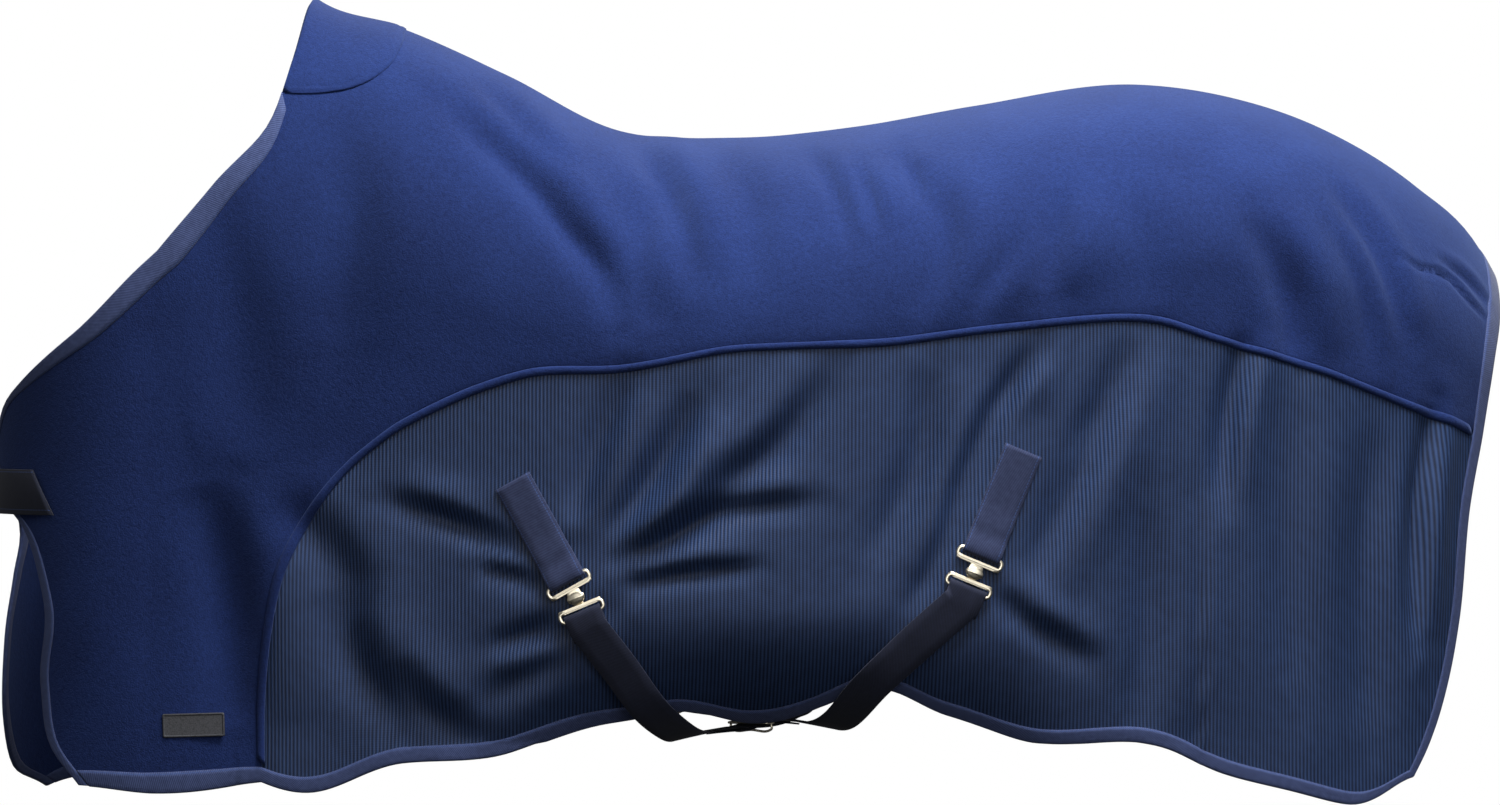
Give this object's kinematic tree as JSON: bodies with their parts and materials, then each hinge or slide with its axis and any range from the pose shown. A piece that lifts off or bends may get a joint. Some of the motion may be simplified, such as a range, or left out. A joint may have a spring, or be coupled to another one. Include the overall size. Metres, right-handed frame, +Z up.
{
  "type": "fleece horse rug",
  "caption": "Horse cooler rug with a fleece upper, ribbed jersey lower panels, taped edges, a chest strap and cross surcingles with slot plates and T-hooks.",
  "frame": {"origin": "on the spine, at the lowest point of the rug's back line, where it lies on the horse's back", "axes": "+X from head to tail, +Y to the horse's off (right) side, +Z up"},
  "size_m": [1.7851, 0.6781, 0.9369],
  "materials": {
    "fleece": "brushed polyester fleece, navy",
    "jersey": "ribbed polyester jersey, dark blue",
    "binding": "twill tape, navy",
    "webbing": "flat polyester webbing, dark navy",
    "pad": "touch-and-close tape",
    "metal": "pale gold plated steel, polished",
    "badge": "blank embossed leather-look patch"
  },
  "bodies": {
    "root": {"fleece_panel_near": "fleece", "jersey_panel_near": "jersey", "flap_binding_near": "binding", "neck_binding_near": "binding", "hem_binding_near": "binding", "tail_binding_near": "binding", "seam_welt_near": "fleece", "withers_patch_near": "fleece", "fleece_panel_off": "fleece", "jersey_panel_off": "jersey", "flap_binding_off": "binding", "neck_binding_off": "binding", "hem_binding_off": "binding", "tail_binding_off": "binding", "seam_welt_off": "fleece", "withers_patch_off": "fleece", "spine_tape": "binding", "badge": "badge", "chest_loop_pad": "pad", "front_tab": "webbing", "rear_tab": "webbing", "front_belly_strap": "webbing", "rear_belly_strap": "webbing", "front_off_patch": "webbing", "rear_off_patch": "webbing"},
    "chest_strap": {"chest_strap": "webbing", "chest_hook_pad": "pad"},
    "front_plate": {"front_slot_plate": "metal"},
    "front_hook": {"front_t_hook": "metal"},
    "front_strap": {"front_strap": "webbing"},
    "front_slider": {"front_slider": "metal"},
    "rear_plate": {"rear_slot_plate": "metal"},
    "rear_hook": {"rear_t_hook": "metal"},
    "rear_strap": {"rear_strap": "webbing"},
    "rear_slider": {"rear_slider": "metal"}
  },
  "joints": [
    {"name": "chest_strap_open", "type": "hinge", "parent": "root", "child": "chest_strap", "pos_m": [-0.82752, 0.14524, -0.416], "axis": [0, 0, -1], "range_deg": [0, 70]},
    {"name": "front_lift", "type": "hinge", "parent": "root", "child": "front_plate", "pos_m": [-0.22714, -0.29092, -0.513], "axis": [-0.8554, 0.1683, -0.4898], "range_deg": [0, 20]},
    {"name": "front_swivel", "type": "hinge", "parent": "front_plate", "child": "front_hook", "pos_m": [-0.21633, -0.29305, -0.53262], "axis": [-0.1931, -0.9812, 0], "range_deg": [-3, 3]},
    {"name": "front_strap_hang", "type": "hinge", "parent": "front_plate", "child": "front_strap", "pos_m": [-0.20827, -0.29463, -0.55249], "axis": [-0.9068, 0.1784, -0.3819], "range_deg": [-20, 0]},
    {"name": "front_slide", "type": "slide", "parent": "root", "child": "front_slider", "axis": [0.3677, 0.9299, 0.0001], "range_m": [-0.015, 0.015]},
    {"name": "rear_lift", "type": "hinge", "parent": "root", "child": "rear_plate", "pos_m": [0.23701, -0.33594, -0.483], "axis": [-0.9249, -0.001, 0.3802], "range_deg": [0, 20]},
    {"name": "rear_swivel", "type": "hinge", "parent": "rear_plate", "child": "rear_hook", "pos_m": [0.22845, -0.33594, -0.50381], "axis": [0.0011, -1, 0], "range_deg": [-3, 3]},
    {"name": "rear_strap_hang", "type": "hinge", "parent": "rear_plate", "child": "rear_strap", "pos_m": [0.22028, -0.33595, -0.5237], "axis": [-0.9249, -0.001, 0.3802], "range_deg": [-20, 0]},
    {"name": "rear_slide", "type": "slide", "parent": "root", "child": "rear_slider", "axis": [-0.3518, 0.9356, -0.0292], "range_m": [-0.015, 0.015]}
  ],
  "couplings": [
    {"joint": "front_strap_hang", "follows": "front_lift", "ratio": -1},
    {"joint": "rear_strap_hang", "follows": "rear_lift", "ratio": -1}
  ]
}
